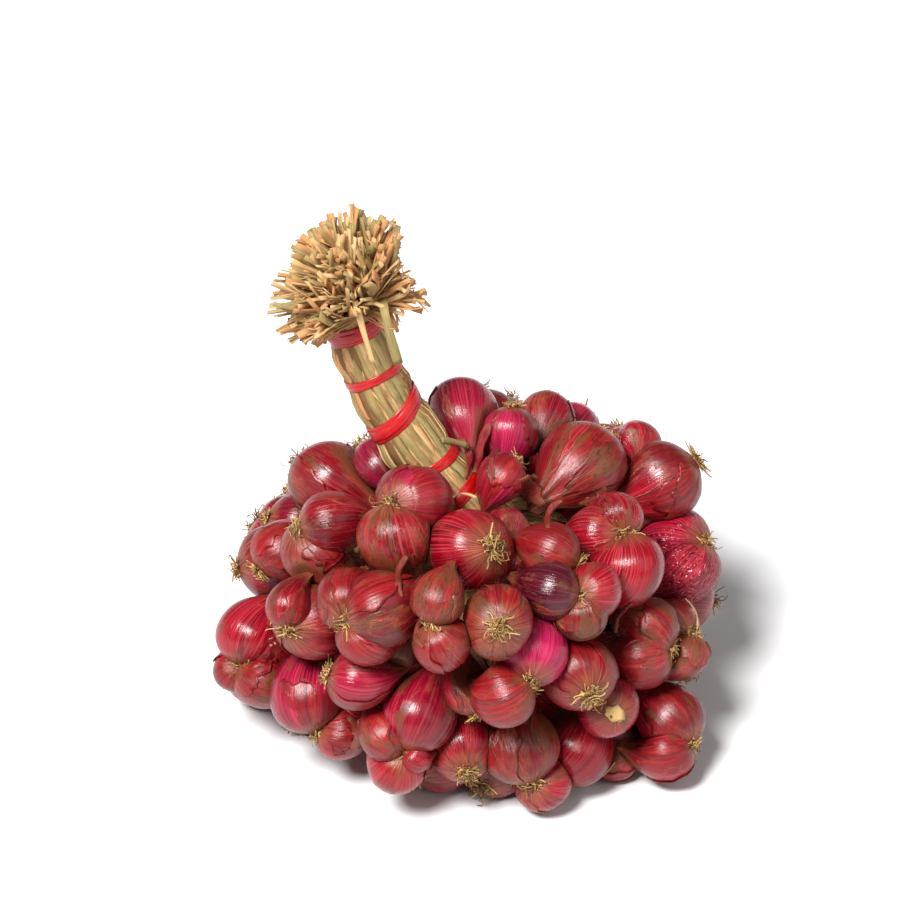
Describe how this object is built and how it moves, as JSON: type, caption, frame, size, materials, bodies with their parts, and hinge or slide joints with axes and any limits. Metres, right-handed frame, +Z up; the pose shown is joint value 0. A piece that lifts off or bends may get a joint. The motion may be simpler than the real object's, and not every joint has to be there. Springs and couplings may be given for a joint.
{
  "type": "tied bunch of pink shallots",
  "caption": "Bunch of pink shallot bulbs heaped round their dried leaves, which red ribbon ties bind into a stem with a cut brush at its end.",
  "frame": {"origin": "under the middle of the whole bunch, on the surface that its lowest bulbs rest on", "axes": "+Z up from that surface, -Y towards the front, where the leaf stem leans, +X to the right seen from the front"},
  "size_m": [0.2526, 0.2544, 0.285],
  "materials": {
    "skin_crimson": "satin papery skin",
    "skin_rose": "satin papery skin",
    "skin_dark": "satin papery skin",
    "skin_pink": "satin papery skin",
    "skin_russet": "satin papery skin",
    "skin_purple": "satin papery skin",
    "straw": "matt, dry and fibrous",
    "ribbon": "glossy"
  },
  "bodies": {
    "root": {"shallot_01": "skin_rose", "shallot_02": "skin_russet", "shallot_03": "skin_pink", "shallot_04": "skin_dark", "shallot_05": "skin_purple", "shallot_06": "skin_purple", "shallot_07": "skin_russet", "shallot_08": "skin_rose", "shallot_09": "skin_purple", "shallot_10": "skin_pink", "shallot_11": "skin_russet", "shallot_12": "skin_rose", "shallot_13": "skin_dark", "shallot_14": "skin_dark", "shallot_15": "skin_dark", "shallot_16": "skin_rose", "shallot_17": "skin_rose", "shallot_18": "skin_pink", "shallot_19": "skin_rose", "shallot_20": "skin_russet", "shallot_21": "skin_purple", "shallot_22": "skin_rose", "shallot_23": "skin_dark", "shallot_24": "skin_purple", "shallot_25": "skin_pink", "shallot_26": "skin_rose", "shallot_27": "skin_russet", "shallot_28": "skin_rose", "shallot_29": "skin_russet", "shallot_30": "skin_crimson", "shallot_31": "skin_crimson", "shallot_32": "skin_russet", "shallot_33": "skin_crimson", "shallot_34": "skin_crimson", "shallot_35": "skin_purple", "shallot_36": "skin_rose", "shallot_37": "skin_crimson", "shallot_38": "skin_rose", "shallot_39": "skin_russet", "shallot_40": "skin_dark", "shallot_41": "skin_rose", "shallot_42": "skin_purple", "shallot_43": "skin_purple", "shallot_44": "skin_purple", "shallot_45": "skin_pink", "shallot_46": "skin_pink", "shallot_47": "skin_rose", "shallot_48": "skin_dark", "shallot_49": "skin_russet", "shallot_50": "skin_pink", "shallot_51": "skin_rose", "shallot_52": "skin_rose", "shallot_53": "skin_russet", "shallot_54": "skin_dark", "leaf_bundle": "straw", "tie_1": "ribbon", "tie_2": "ribbon", "tie_3": "ribbon", "tie_4": "ribbon", "tie_5": "ribbon"}
  },
  "joints": []
}
